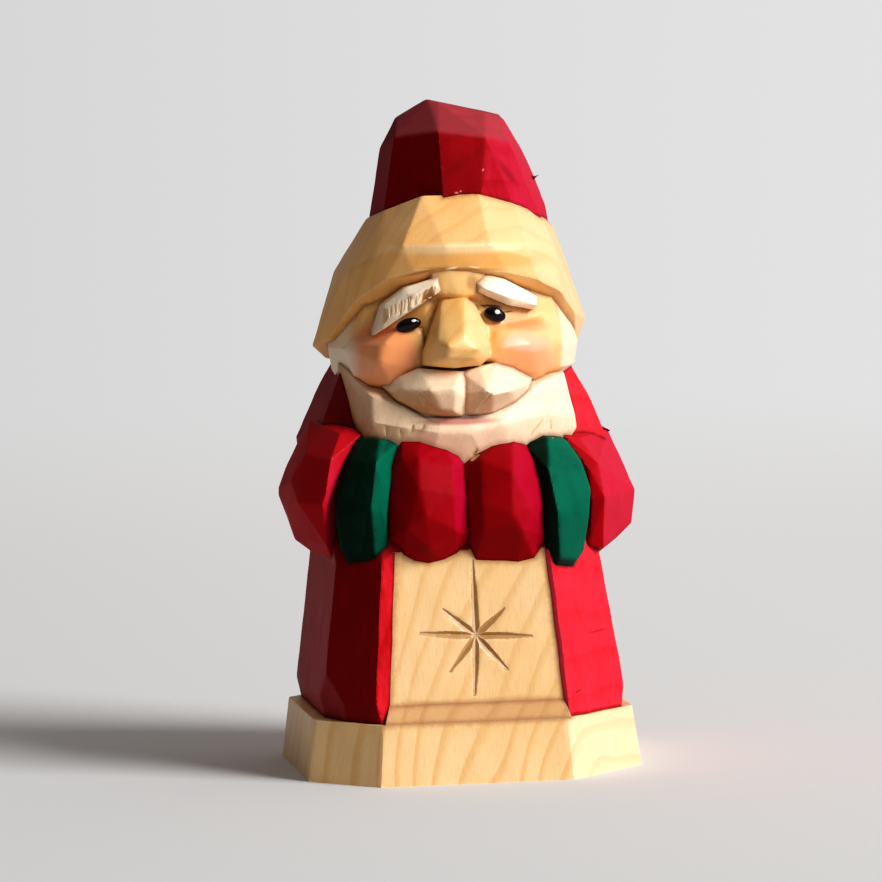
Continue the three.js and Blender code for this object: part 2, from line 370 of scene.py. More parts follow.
def thin_paint(name, shaded_colour, lit_colour, sheen=0.05, wood=(0.80, 0.45, 0.30), worn_through=0.3, painted_sheen_share=0.3,
               depth=0.15, marks=(), chips=()):
    """Thinned acrylic with painted light: lit on the facets that face the right, shaded on the others."""
    finish, tree, shader = new_finish(name, 0.55)
    shader.inputs["Specular IOR Level"].default_value = sheen
    seen = placed_group(tree, grain)
    worn = placed_group(tree, wear, Ridge_Width=0.07, Groove_Width=0.6)
    cloud = mottle(tree, (0.35, 0.35, 0.15), 3.0, 0.6, 0.4)
    # The colour runs from shaded to lit with the painted light and some mottling, through a deeper tone in
    # painted half-shade.
    shade = maths(tree, "ADD", measured(tree, "painted_light"), uneven(tree, cloud, 0.45))
    grained = maths(tree, "SUBTRACT", shade, times(tree, seen["Rings"], 0.08))
    streaked = maths(tree, "ADD", grained, uneven(tree, seen["Fibres"], 0.25), clamp=True)
    deep = [part if part == max(lit_colour) else part * depth for part in lit_colour]
    colour = mixed(tree, between(tree, streaked, 0.4, 0.95), mixed(tree, streaked, shaded_colour, deep), lit_colour)
    # A painted sheen greys the paint on the upper facets and on those facing far left.
    colour = tinted(tree, colour, measured(tree, "painted_sheen"), painted_sheen_share, [0.5 * part + 0.08 for part in lit_colour])
    for mark in marks:
        colour = touched(tree, colour, 0.4, [part * 0.6 for part in shaded_colour], mark)
    for chip in chips:
        colour = touched(tree, colour, 0.7, chipped_paint, chip)
    # Painted shade darkens the paint in the grooves.
    colour = tinted(tree, colour, worn["Groove"], 0.7, [part * 0.2 for part in shaded_colour])
    colour = tinted(tree, colour, worn["Ridge"], worn_through, wood)
    surfaced(tree, shader, colour, seen["Fibres"], 0.25)
    return finish


def stroke(bm, point, facing):
    """One stroke of the knife takes off all that stands beyond a plane."""
    parts = bm.verts[:] + bm.edges[:] + bm.faces[:]
    cut = bmesh.ops.bisect_plane(bm, geom=parts, plane_co=point, plane_no=facing, clear_outer=True)
    edges = [part for part in cut["geom_cut"] if isinstance(part, bmesh.types.BMEdge)]
    if edges:
        bmesh.ops.contextual_create(bm, geom=edges)


# Each paint gives its colour in painted shade first, and its colour in painted light second.
red_paint = thin_paint("thin_red_paint", (0.20, 0.0003, 0.002), (0.68, 0.026, 0.05),
                       marks=[(17.8, 11.05, 1.6, 0.14, 2, 0.4), (13.7, 3.3, 0.6, 0.2, 15, 0.4)])
# The let-in's right wall is painted one light red all over, as painted light.
lit_bevel_paint = thin_paint("red_bevel_painted_light", bevel_red_painted_light, bevel_red_painted_light, worn_through=0.5)
skirt = squared((skirt_foot, coat_corners), (skirt_top, coat_corners))
for (east, north), (x, y), height in foot_bevels:
    stroke(skirt, (x, y, height), (east, north, -0.22))
body = carved(skirt, "skirt", [red_paint], scene.collection)

levels = [(shoulder_core, coat_corners), (skirt_top, coat_corners)]
for height, left, right, front, back, nape in shoulder_levels:
    levels.append(({"height": height, "left": left, "right": right, "front": front, "back": back},
                   {**coat_corners, "back_left": nape, "back_right": nape}))
coat_only = tray("coat_only")
carved(squared(*levels), "shoulders", [red_paint], coat_only)

# The sleeves bulge at the elbows and come forward to the cuffs. They are of the same wood and the same red
# as the coat. Their fronts are pared corner by corner, and their backs run round into the shoulders.
sleeve_plan = (8, 0)  # a slice's sides, and the degrees that it is turned by


def plan_ring(bm, sides, turn, centre, across, along):
    """A ring of corners: a circle stretched along two vectors, whose first corner is on the near side."""
    corners = bmesh.ops.create_circle(bm, segments=sides, radius=1)["verts"]
    place = Matrix.Identity(4)
    for row in range(3):
        place[row][0:4] = across[row], along[row], 0.0, centre[row]
    spin = Matrix.Rotation(math.pi + math.radians(turn), 4, "Z")
    bmesh.ops.transform(bm, matrix=place @ spin, verts=corners)
    return corners


def station(bm, plan, x, front, back, low, high):
    """One slice of a form that lies across the figure."""
    centre = (x, (front + back) / 2, (low + high) / 2)
    return plan_ring(bm, *plan, centre, (0, 0, (high - low) / 2), (0, (back - front) / 2, 0))


def shaped(name, finish, corners, slice_of=None, plan=(), slices=(), limit=-math.inf, strokes=()):
    """A form through slices and corners, where the corners alone shape what lies in front of a limit."""
    form = bmesh.new()
    for entry in slices:
        ring = slice_of(form, plan, *entry)
        bmesh.ops.delete(form, geom=[corner for corner in ring if corner.co.y < limit], context="VERTS")
    for corner in corners:
        bmesh.ops.create_vert(form, co=corner)
    flat_faces(form)
    for point, facing in strokes:
        stroke(form, point, facing)
    carved(form, name, [finish])


sleeve_paint = thin_paint("sleeve_red_paint", (0.40, 0.0004, 0.005), (0.52, 0.014, 0.044), painted_sheen_share=0.05)
shaped("sleeve_right", sleeve_paint, [
    (-21, -4, 41.2), (-18.7, -8, 41), (-16.2, -12, 40.6), (-15.2, -14, 39.8), (-18.2, -14.4, 40.1),
    (-20.2, -18.2, 36.5), (-21.1, -19.6, 32.3), (-21.6, -19.4, 30.7), (-20.8, -16.6, 24.7),
    (-20.7, -8, 40.2), (-22.8, -11.5, 37), (-24.7, -10, 33.3), (-24.4, -14.5, 30.5), (-24.9, -6, 28.6),
    (-25.2, 0.6, 31.6), (-23.4, -3, 24.4), (-20.9, -4, 22.4), (-19.1, -11, 22), (-15, -13.5, 38.7)
], station, sleeve_plan, [
    (-25.2, -7.5, 1, 28.8, 32.3), (-24, -11, 4, 26.2, 35.6), (-21.6, -15.2, 7.4, 23.2, 40.6),
    (-18.5, -18.6, 9, 21.4, 42.4), (-12, -20, 6, 21.8, 41.6)
], 0.0)
shaped("sleeve_left", sleeve_paint, [
    (16.1, -12, 38.1), (18.1, -15.6, 34.7), (18.7, -17, 30.1), (19.1, -13, 22.6), (22.2, -2, 38.6),
    (23.8, -6, 32.9), (25, -7, 30.1), (24.6, -6, 25.4), (22.7, -5, 23.3), (19.8, -6, 21.3),
    (13.7, -12.5, 38.8), (16.8, -16, 33.9), (16.9, -16.6, 29.7), (17.1, -13.5, 23.1)
], station, sleeve_plan, [
    (12, -19.5, 6, 21.6, 40.6), (18.2, -17.6, 9, 21.2, 40.4), (21.6, -14, 8, 22.9, 39.4),
    (23.8, -10.5, 5, 24.7, 35), (25, -7, 1.5, 27.2, 31)
], 0.0)

# The turned cuffs are thick rings round the wrists, left standing in the wood and painted dark green. Each
# is pared with broad strokes that leave a ridge down its front.
wrist = -14.0  # the slices shape what lies behind this, and the corners the rest
cuff_plan = (8, 22.5)
green_paint = thin_paint("dark_green_paint", (0.0002, 0.015, 0.007), (0.0002, 0.13, 0.075),
                         wood=(0.1, 0.3, 0.2), worn_through=0.1, painted_sheen_share=0.0, depth=1.0)
shaped("cuff_right", green_paint, [
    (-13.1, -17.2, 39.3), (-14.3, -22, 36.3), (-15.4, -23.4, 30.2), (-14.7, -20.5, 23.6),
    (-13.8, -16.5, 20.1), (-15.4, -15.5, 39.3), (-17.4, -18.4, 36.4), (-19.4, -19.9, 31.9),
    (-19.7, -19.6, 28.1), (-18.9, -17.8, 24.4), (-16.9, -15.5, 20.6), (-9.9, -16, 38.8),
    (-12.2, -19.8, 35.4), (-12.8, -21.4, 31.1), (-13.2, -21.6, 29.2), (-12.8, -19.5, 23.8),
    (-11.8, -16, 20.5)
], station, cuff_plan, [
    (-18, -19.8, -6, 22, 39.4), (-14.8, -22.8, -8, 20.9, 40), (-12.8, -22, -8, 21.4, 39.2)
], wrist)
shaped("cuff_left", green_paint, [
    (10.7, -16.8, 38.8), (9.9, -22, 34.7), (10.8, -23.2, 28.7), (11.3, -21.2, 22.1), (10.6, -17.5, 19.2),
    (7.5, -16, 37.8), (8.6, -19.2, 35.5), (9, -20.8, 33.1), (9.3, -21.4, 28.9), (9.5, -20, 24),
    (9.5, -17, 19.4), (13.4, -14.5, 38.3), (15.5, -17.6, 34.6), (16.5, -18.4, 31.3), (16.2, -18.6, 28.5),
    (15.6, -17.2, 22.8), (14.3, -18.1, 21.5), (14, -16.5, 20.3)
], station, cuff_plan, [
    (10, -23, -8, 19.4, 39.8), (13.4, -21.8, -6, 19.2, 39.4), (16.1, -18.4, -6, 21.8, 37.4)
], wrist)

# The mittens are two round lumps of the wood that meet in the middle, painted a deeper red than the coat.
# They are pared into small facets and have no thumbs.
mitten_paint = thin_paint("crimson_paint", (0.26, 0.0002, 0.003), (0.42, 0.003, 0.03),
                          worn_through=0.1, painted_sheen_share=0.0, depth=0.4)
shaped("mitten_right", mitten_paint, [
    (-9.9, -17.2, 38.9), (-7.4, -17.4, 39.2), (-4.2, -17.6, 38.5), (-1.9, -17.8, 36.9),
    (-10.4, -20.2, 36.7), (-8.4, -21.8, 36.6), (-3.3, -20.8, 35.7), (-12.3, -18.6, 34.9),
    (-8.7, -23.8, 32.8), (-3.7, -23.4, 31.8), (-1, -18.2, 34.9), (-12.3, -20.6, 31), (-8, -24.5, 29.1),
    (-10.3, -23.2, 27), (-12.6, -19.4, 27.8), (-3.5, -23, 26.7), (-0.7, -20.4, 30.7), (-0.7, -19.8, 25.7),
    (-7.2, -22.4, 24.2), (-12.4, -19.2, 25.4), (-10.4, -17.5, 20.9), (-6.7, -17.5, 20.1),
    (-2.6, -17.5, 20.9), (-0.8, -17.5, 22.6)
], station, (8, 12), [
    (-11.2, -22.8, -11, 20.9, 38.9), (-7.8, -24.3, -11, 20.5, 39.5), (-4.4, -23.9, -11, 21.1, 38.1)
], wrist)
shaped("mitten_left", mitten_paint, [
    (0.2, -17.6, 37), (3.2, -17.6, 38.4), (5.8, -17.2, 38.5), (8.1, -16.4, 37.5), (-1.9, -17.5, 35.2),
    (0.6, -21, 36.2), (5.1, -20.2, 37.1), (8.7, -18.6, 35.5), (0.3, -23.2, 33.2), (4.4, -23.8, 34.5),
    (9.2, -20.2, 33), (0.1, -23.8, 30.4), (4.2, -24.5, 28.8), (6.9, -23.3, 29.3), (9.5, -20.6, 30),
    (-2.1, -20.6, 30.6), (-2.3, -18.7, 27.7), (-1.7, -18, 22.5), (0.3, -23.4, 26.9), (5.6, -23.6, 26.6),
    (9.6, -20, 25.3), (-0.4, -18.8, 21), (5.8, -18.2, 19.7), (9.4, -17.5, 19.6), (2.8, -17.5, 19.7)
], station, (8, -12), [
    (-0.9, -23.7, -11, 21.9, 37.3), (3, -24.3, -11, 20.7, 38.5), (6.6, -23.7, -11, 20.6, 38.5)
], wrist)

# The beard is a band of the wood under the cheeks, pared to a blunt edge. It runs down behind the mittens,
# and is washed with thinned white. The lip under the smile is pink, and the dark line along the
# moustache's lower edge is painted shadow.
wash_tan, wash_stain = (0.88, 0.56, 0.34), (0.22, 0.09, 0.04)
# The first is the brown of painted shade in the white wash, the second its thinner patches.
painted_shade_streak, thin_streak = (0.55, 0.21, 0.05), (0.80, 0.55, 0.34)
# The last colour is the dark line of painted shadow under the moustache, laid along the mouth at the places
# on the next line.
chin_tint, lip_tint, mouth_painted_shadow = (0.78, 0.44, 0.30), (0.50, 0.14, 0.10), (0.09, 0.035, 0.02)
mouth_shadow_lines = ((-8.4, 43.2, 2.4, 0.2, -32, 0.7), (-3.6, 42.1, 3.4, 0.22, -3, 0.7), (0.0, 42.1, 1.6, 0.3, 0, 0.7))


def washed_finish(name, pale, painted_shade_share):
    """Thinned white, browned in streaks by painted shade on what faces left and down."""
    finish, tree, shader = new_finish(name, 0.45, 0.1)
    colour, _ = wood_colour(tree, pale, wash_tan, wash_stain, 0.2, 0.2)
    streaks = mottle(tree, (1.6, 1.6, 0.5), 3.0, 0.6)
    # Painted shade browns the wash in streaks on what faces left and down.
    away = measured(tree, "painted_shade")
    painted_shade_mask = maths(tree, "MULTIPLY", away, maths(tree, "ADD", streaks, 0.35), clamp=True)
    colour = tinted(tree, colour, painted_shade_mask, painted_shade_share, painted_shade_streak)
    colour = tinted(tree, colour, between(tree, streaks, 0.5, 0.75), 0.3, thin_streak)
    colour = touched(tree, colour, 0.4, chin_tint, (-1.0, 38.4, 8.0, 2.4, 0, 0.6))
    colour = touched(tree, colour, 0.85, lip_tint, (-1.9, 41.5, 5.2, 0.5, 0, 0.5))
    for shadow_line in mouth_shadow_lines:
        colour = touched(tree, colour, 0.85, mouth_painted_shadow, shadow_line)
    surfaced(tree, shader, colour, streaks, 0.5)
    return finish


def level(bm, plan, height, left, right, front, back, dip=0.0, fall=0.0):
    """One level of an upright form, which may dip towards the back and fall to the right."""
    wide, deep, middle = (right - left) / 2, (back - front) / 2, (left + right) / 2
    centre = (middle, (front + back) / 2, height - dip * deep - fall * middle)
    return plan_ring(bm, *plan, centre, (wide, 0, -fall * wide), (0, deep, -dip * deep))


white_wash = washed_finish("thin_white_wash", (0.96, 0.74, 0.52), 1.0)
shaped("beard", white_wash, [
    (-16.9, -4.5, 49.4), (-16.3, -7.2, 44.7), (-15.3, -11.6, 45.4), (-13.8, -15, 45.1), (-10.1, -17, 44),
    (-4.7, -18.6, 42.6), (0.9, -18.6, 42.1), (6.1, -17.2, 43.6), (11, -14, 46.6), (14.2, -11.4, 47.4),
    (-15.4, -12.2, 40.9), (-13.8, -16.2, 41.6), (-10.2, -17.8, 40.9), (-4.9, -19.4, 40),
    (-0.7, -19.6, 39.9), (4.4, -18.8, 40.9), (10.7, -15.6, 41.9), (15.7, -11.8, 41.2), (-14.6, -14.4, 38.4),
    (-10.1, -16.8, 38.2), (-1.7, -18.2, 35.8), (9.3, -15, 38.3), (13.6, -12, 38.7), (16, -11.2, 39.6),
    (-9, -15, 28), (7, -15, 28)
], level, (9, -20), [
    (28, -13, 11, -18.4, 6), (37, -16.4, 15.6, -19.6, 8), (43, -17.4, 17, -19.2, 10),
    (48.5, -15.6, 15.6, -15.6, 10)
], -4.0)

# The head is an upright block of the wood with ten pared sides. The face is oiled, with a blush of
# orange-pink on the cheeks and under the eyes, and its sides are washed white for whiskers.
face_pale, face_tan, face_stain = (0.92, 0.55, 0.20), (0.86, 0.42, 0.10), (0.30, 0.11, 0.03)
blush, cheek_pink, whiskers = (0.90, 0.29, 0.12), (0.90, 0.49, 0.32), (0.92, 0.80, 0.62)
forehead_painted_light, crease_painted_shade, lash = (0.97, 0.62, 0.27), (0.34, 0.12, 0.03), (0.02, 0.015, 0.012)


def face_finish():
    finish, tree, shader = new_finish("oiled_face", 0.4, 0.15)
    colour, fibres = wood_colour(tree, face_pale, face_tan, face_stain, 0.3, 0.25, 0.2)
    # Painted light brightens the forehead under the brim.
    colour = touched(tree, colour, 0.6, forehead_painted_light, (-1.5, 61.8, 3.6, 2.2, 0, 0.6))
    colour = touched(tree, colour, 0.75, blush, (-12.0, 50.6, 4.6, 4.5, -20, 0.2),
                     (8.2, 49.8, 4.8, 2.6, -12, 0.5), (7.6, 54.7, 3.8, 1.0, -6, 0.5))
    colour = touched(tree, colour, 0.8, cheek_pink, (8.0, 52.2, 3.4, 1.3, -6, 0.4))
    east = split(tree, place_in(tree))[0]
    left, right = between(tree, east, 13.6, 14.6), between(tree, east, -16.4, -14.5, 1.0, 0.0)
    colour = tinted(tree, colour, maths(tree, "MAXIMUM", left, right), 0.75, whiskers)
    # Painted shade darkens the crease beside the nose and the hollow under the inner end of a brow.
    colour = touched(tree, colour, 0.6, crease_painted_shade, (-5.0, 57.4, 1.6, 0.32, 54, 0.6),
                     (0.3, 60.7, 0.8, 1.1, 0, 0.6))
    colour = touched(tree, colour, 0.85, lash, (5.6, 56.4, 0.75, 0.12, 2, 0.5),
                     (2.1, 57.3, 0.5, 0.14, -25, 0.5), (3.2, 57.3, 1.3, 0.16, -6, 0.6),
                     (-9.6, 56.2, 0.45, 0.3, -40, 0.7), (-8.9, 56.5, 0.4, 0.16, -40, 0.6))
    surfaced(tree, shader, colour, fibres, 0.3)
    return finish


oiled_face = face_finish()
shaped("head", oiled_face, [], level, (10, -20), [
    (45.2, -15.4, 14.4, -14.4, 12), (48.2, -17.5, 17.6, -17.2, 14), (51.4, -18, 18.1, -17.8, 14),
    (57.6, -16.6, 15.6, -16.8, 13.4), (68, -15, 14, -15, 12.6, 0.35)
])

# The nose, the forehead and the cheeks. Each is a lump left standing in the wood of the head, oiled as the
# face is, and pared with a few short strokes. The nose stands out sharply, and the others rise gently.


def pared(name, corners, finish, root=-12.0):
    """A lump on the face: the corners that show, and the same ones again where it grows out of the head."""
    shaped(name, finish, [(x, place, height) for x, y, height in corners for place in (y, root)])


def swelling(name, corners, spread):
    """A lump that rises gently: its corners are repeated 3 mm farther in and farther apart by a share."""
    middle = sum((Vector(corner) for corner in corners), Vector()) / len(corners)
    roots = []
    for corner in corners:
        away = (Vector(corner) - middle) * spread
        roots += [corner, (corner[0] + away.x, corner[1] + 3, corner[2] + away.z)]
    shaped(name, oiled_face, roots)


swelling("forehead", [
    (-5.4, -17.1, 63.6), (2.4, -17.1, 63.4), (-4.8, -17.4, 59.2), (1.9, -17.3, 59), (-3.2, -17.8, 63.4),
    (0.4, -17.8, 63.4), (-1.5, -18.2, 58.8)
], 0.3)
pared("nose", [
    (-4, -17, 58.5), (-1, -18.4, 58.6), (0.8, -16.4, 57.9), (-5.5, -17.2, 54.8), (-1.5, -21.4, 54.9),
    (1.7, -18.2, 54.3), (-5.3, -21.9, 53), (-1.8, -22.9, 54), (2.3, -19.4, 54), (2.6, -19.2, 52),
    (-4.1, -23.8, 52.1), (0, -23.3, 51.7), (-6.8, -18.6, 51.3), (-7, -18.2, 49.3), (-4.2, -23.2, 50.6),
    (-0.2, -22.4, 50.4), (2.3, -19.2, 50.2), (-4.8, -20.2, 49.2), (-2.6, -20.6, 49), (1.1, -19, 49.1)
], oiled_face)
swelling("cheek_left", [
    (3.8, -17.4, 54), (6, -17.2, 54.3), (11.2, -14.2, 54.7), (3.9, -19, 51.5), (8.3, -18.2, 51.8),
    (11.4, -14.8, 51.6), (3, -18.8, 49.6), (6.1, -18, 48.8), (10.1, -15, 47.7), (12, -13.4, 49.1),
    (9.3, -14.8, 47), (2.4, -18.8, 50.6)
], 0.3)
swelling("cheek_right", [
    (-12.6, -17.2, 52.3), (-13, -17.2, 50), (-6.9, -17, 54.2), (-6.4, -17.4, 51.2), (-6.8, -17.4, 49.1),
    (-10.2, -16.4, 54.3), (-15.2, -11.8, 52.4), (-15.9, -10.8, 51.4), (-15, -12.2, 48.4),
    (-13.6, -14.6, 47.4), (-11.5, -16, 46.8)
], 0.25)

# The brows and the moustache, of the same wood as the head. The brows are bars and the moustache two lobes,
# washed with thinned white. The brows are painted a paler white than the moustache, partly as painted
# light, and take little of the painted shade.
brow_wash = washed_finish("brow_white_wash", (1.0, 0.88, 0.69), 0.05)
pared("brow_right", [
    (-4.4, -17.4, 61.6), (-4, -17.8, 59.6), (-4.9, -18.5, 60.7), (-9, -16.8, 60.2), (-8.5, -17.8, 58.9),
    (-6.5, -18.4, 58.7), (-9, -18, 56.8), (-11.8, -15.4, 57.8), (-11.5, -16.8, 56), (-12.2, -16, 54.3),
    (-13.3, -14.7, 53.5)
], brow_wash, -9.0)
pared("brow_left", [
    (0.8, -17.4, 60.8), (2.3, -16.8, 61.9), (1.1, -17.4, 59.3), (1.7, -18.8, 60), (5.1, -17, 61),
    (5.1, -18.6, 58.6), (5.5, -17.4, 57.4), (10.2, -14.8, 58.4), (9.9, -15.8, 57.2), (9.5, -14.8, 56.5)
], brow_wash)
pared("moustache_right", [
    (-12.3, -14.8, 46.5), (-10.3, -17, 47.8), (-7.6, -18.8, 49), (-1.9, -19.6, 48.5), (-1.5, -19.4, 48.1),
    (-11.3, -17, 45.6), (-9.7, -18.9, 46.1), (-6.2, -21.6, 46), (-3.1, -21.9, 46.2), (-2.1, -21.2, 45.4),
    (-10.3, -17.6, 44.4), (-7, -18.6, 42.8), (-4.9, -20.6, 43.3), (-3, -20.6, 42.9), (-4.6, -18.8, 42.2),
    (-1.9, -18.8, 42.1), (-0.4, -18.4, 48.3), (-0.4, -18.6, 45.3), (-0.6, -18, 42.3)
], white_wash)
pared("moustache_left", [
    (-1.3, -19.4, 48.1), (0.9, -19.6, 48.9), (3.3, -18.6, 49.6), (6.2, -17.4, 48.8), (9.2, -14.8, 47),
    (1.4, -21.8, 45.8), (2.3, -21.6, 45.2), (5.3, -20, 45.6), (7.4, -17.6, 46.1), (8.4, -15.6, 45.4),
    (6.2, -17, 43.8), (2.7, -18.6, 42.5), (-0.6, -18.6, 42.1), (-1.5, -19.4, 44.4), (-3.2, -18, 48),
    (-3.2, -18.6, 45), (-2.8, -18.2, 42.3)
], white_wash)

# The eyes. They are drops of glossy black paint that stand a little proud of the wood under the brows, each
# touched with a white dot once it is dry.
glossy_black, _, shader = new_finish("glossy_black", 0.22, 0.1)
shader.inputs["Base Color"].default_value = (0.002, 0.002, 0.003, 1)
shader.inputs["Specular IOR Level"].default_value = 0.25
white_dot, _, shader = new_finish("white_dot", 0.3)
shader.inputs["Base Color"].default_value = (0.9, 0.9, 0.88, 1)
for name, centre, sizes, aim, tilt, finish in (
        ("eye_right", (-8.6, -16.8, 55.0), (1.9, 0.9, 0.98), -24, 16, glossy_black),
        ("eye_left", (3.6, -17.0, 56.1), (1.62, 0.7, 1.04), 4, -16, glossy_black),
        ("dot_right", (-8.0, -17.66, 55.5), (0.44, 0.2, 0.3), -10, 16, white_dot),
        ("dot_left", (3.85, -17.62, 56.5), (0.36, 0.14, 0.34), 4, 0, white_dot)):
    drop = bmesh.new()
    turn = Matrix.Rotation(math.radians(aim), 4, "Z") @ Matrix.Rotation(math.radians(-tilt), 4, "Y")
    place = Matrix.Translation(centre) @ turn @ Matrix.Diagonal((*sizes, 1))
    bmesh.ops.create_icosphere(drop, subdivisions=3, radius=1, matrix=place)
    carved(drop, name, [finish], smooth=True)

# The hat's brim is a bare, oiled band of the wood that stands high on the forehead and hangs down over the
# ears. A last stroke trims its underside. A dark line and two pale nicks run along its lower edge in front.
brim_pale, brim_tan, brim_stain = (0.90, 0.53, 0.21), (0.84, 0.38, 0.08), (0.30, 0.11, 0.03)
brim_wood, tree, shader = new_finish("yellow_brim_wood", 0.42, 0.12)
colour, fibres = wood_colour(tree, brim_pale, brim_tan, brim_stain, 0.3, painted_highlight=0.22)
# A pale stripe across the front of the brim is a painted highlight.
colour = touched(tree, colour, 0.5, (0.97, 0.76, 0.46), (-0.5, 65.5, 9.5, 0.75, 0, 0.5))
colour = touched(tree, colour, 0.7, (0.82, 0.38, 0.08), (1.0, 63.6, 9.5, 1.2, 0, 0.5))
colour = touched(tree, colour, 0.75, (0.36, 0.13, 0.03), (-1.0, 62.6, 4.6, 0.22, -3, 0.7),
                 (-6.5, 62.3, 2.6, 0.2, 12, 0.7))
colour = touched(tree, colour, 0.8, (0.95, 0.76, 0.52), (-2.6, 62.75, 0.8, 0.16, 10, 0.5),
                 (0.6, 62.85, 0.7, 0.12, -10, 0.5))
surfaced(tree, shader, colour, fibres, 0.5)
underside = ((0, 10, 50.5), (0, 0.15, -1))
shaped("brim", brim_wood, [
    (-12, -2, 69.6), (-10.2, -7.5, 70.8), (-5.7, -12.8, 72.8), (2.2, -13, 72.9), (7.9, -10.5, 71.3),
    (12.2, -6, 69.8), (14.6, 0, 68.1), (-16.7, -1, 61.5), (-16.1, -8, 62.3), (-12.8, -13.5, 64.3),
    (-9.2, -17, 66), (-3.5, -18.8, 65.8), (2.9, -18.4, 65.9), (9, -15.5, 64), (14.1, -8, 64.6),
    (16, -2, 62.7), (-19.8, 1, 51.6), (-17.9, -4, 52.9), (-15.3, -10.5, 58.1), (-11.4, -15, 61.3),
    (-7.9, -17.2, 62.5), (-3.2, -18.2, 62.7), (1.1, -18.2, 62.4), (5.5, -17.2, 61.9), (10.3, -15, 60.7),
    (13.9, -11.5, 58.9), (16.9, -6, 55.7), (19.6, 0, 54.6), (18.5, 1, 52.3)
], level, (9, -25), [
    (63.2, -18.7, 18.3, -17.4, 16.4, 0.64, 0.05), (66.7, -19.7, 19.4, -18.8, 17.4, 0.66, 0.02),
    (70.4, -16.6, 16.6, -15.9, 15.8, 0.42), (73, -12.6, 15.6, -13.4, 14.6, 0.35)
], 0.5, [underside])

# The crown of the hat is painted red as the coat is. Its top is pared like a hipped roof, and a narrow band
# of facets runs round its foot on the right. A splinter stands up on it, and another on the left sleeve.
hat_paint = thin_paint("hat_red_paint", (0.16, 0.0002, 0.002), (0.50, 0.016, 0.046),
                       sheen=0.03, worn_through=0.1, painted_sheen_share=0.42,
                       marks=[(7.2, 75.6, 0.5, 2.2, 40, 0.7), (-4.4, 73.2, 1.4, 1.2, -40, 0.4)],
                       chips=[(-0.8, 73.1, 0.26, 0.13, 0, 0.5), (3.2, 76.2, 0.2, 0.1, 60, 0.5),
                              (-0.2, 73.3, 0.16, 0.1, 0, 0.5)])
shaped("crown", hat_paint, [
    (-11.5, -1, 69.6), (-10.4, -7, 70.3), (-2.7, -13.2, 72.4), (2.5, -12.9, 72.4), (7.8, -10.3, 70.9),
    (12.2, -6.6, 69.3), (14.6, 0, 67.7), (3, -12.3, 74.4), (8.1, -9, 73.1), (13.6, -2.5, 70.9),
    (-9.6, 0, 79.5), (-8.4, -6, 81), (-2.9, -10.6, 81.8), (3.9, -10.4, 80.8), (7.6, -7.5, 80.1),
    (10.7, -1, 78.7), (-7.6, -1.5, 83.7), (-3.1, -3.5, 86.2), (-2.4, 4, 86.2), (-1.8, -4.5, 85.8),
    (5, -3.5, 84.1), (8, -1.5, 83.2)
], level, (9, -20), [
    (66, -11.2, 16, -14, 14.4, 0.35), (70, -10.2, 14.8, -12.6, 13.6, 0.2), (75.5, -9.8, 12.9, -11.3, 12),
    (79.3, -9.4, 11, -10.6, 11.2), (81.3, -8.3, 9.7, -10.2, 10.6), (83.9, -6.9, 8, -7.1, 7.6)
], 0.5)
shaped("hat_splinter", hat_paint,
       [(12.2, -2.2, 74.5), (11.9, -2.9, 74.8), (11.6, -1.6, 74.9), (12.9, -2.5, 75.2)])
shaped("coat_splinter", hat_paint,
       [(20.4, -3.0, 39.6), (20.8, -2.0, 38.0), (20.2, -1.0, 39.0), (22.7, -2.4, 38.4)])

# The apron and the star. The apron is let into the coat's front between the flaps, slopes out to the base
# at its foot, and is left bare. The star is eight tapering V cuts, coloured a darker brown than the apron.
apron_left = (-13.2, -11.6)  # at the skirt's foot and top
apron_right = (11.7, 9.5)
bevel_left = (1.7, 2.1)  # how far the let-in's wall leans out for each millimetre of its depth
bevel_right = (0.4, 0.8)
apron_depth = 1.1
apron_foot = 2.4
apron_root = -15.0  # how far in the slope at its foot is rooted
skirt_front = (4.0, -22.4)  # the height of the foot bevel, and how far forward the skirt's face lies there
let_in_reach = 4.0  # how far the let-in stands out of the wood, for a clean cut
star_centre = (-0.6, 11.7)
star_rays = [(90.5, 10.6), (267, 8.4), (175.5, 8.0), (358, 8.0),  # degrees and length
             (140, 6.0), (42, 5.6), (232, 6.2), (311, 6.6)]
groove_wide, groove_deep = 0.54, 0.5
overcut = 0.6  # how far a groove's mouth stands out of the wood, for a clean cut
cuts = tray("knife_cuts")


def apron_face(height):
    """How far forward the apron's face lies at a height over the base."""
    rise = (height - skirt_front[0]) / (skirt_top["height"] - skirt_front[0])
    return skirt_front[1] + rise * (skirt_top["front"] - skirt_front[1]) + apron_depth


apron_wood = bare_wood("apron_basswood", pale_wood, tan_wood, oil_stain, 0.5)
dark_cut_wood = bare_wood("dark_cut_wood", (0.50, 0.27, 0.09), (0.38, 0.18, 0.05), oil_stain, 0.3)
slope_wood = bare_wood("slope_wood", (0.66, 0.39, 0.18), (0.56, 0.29, 0.10), (0.30, 0.12, 0.04), 0.6)
let_in_only = tray("let_in_only")
let_in = bmesh.new()
for end, height in enumerate((0.0, skirt_top["height"] + 2)):
    face = apron_face(height)
    for corner in ((apron_left[end], face), (apron_right[end], face),
                   (apron_left[end] - let_in_reach * bevel_left[end], face - let_in_reach),
                   (apron_right[end] + let_in_reach * bevel_right[end], face - let_in_reach)):
        bmesh.ops.create_vert(let_in, co=(*corner, height))
flat_faces(let_in)
# The let-in's left wall takes the coat's red, its face the bare apron wood, and its right wall the light
# red of painted light.
carved(let_in, "let_in", [red_paint, apron_wood, lit_bevel_paint], let_in_only,
       lambda face: 0 if face.normal.x < -0.3 else 2 if face.normal.x > 0.3 else 1)

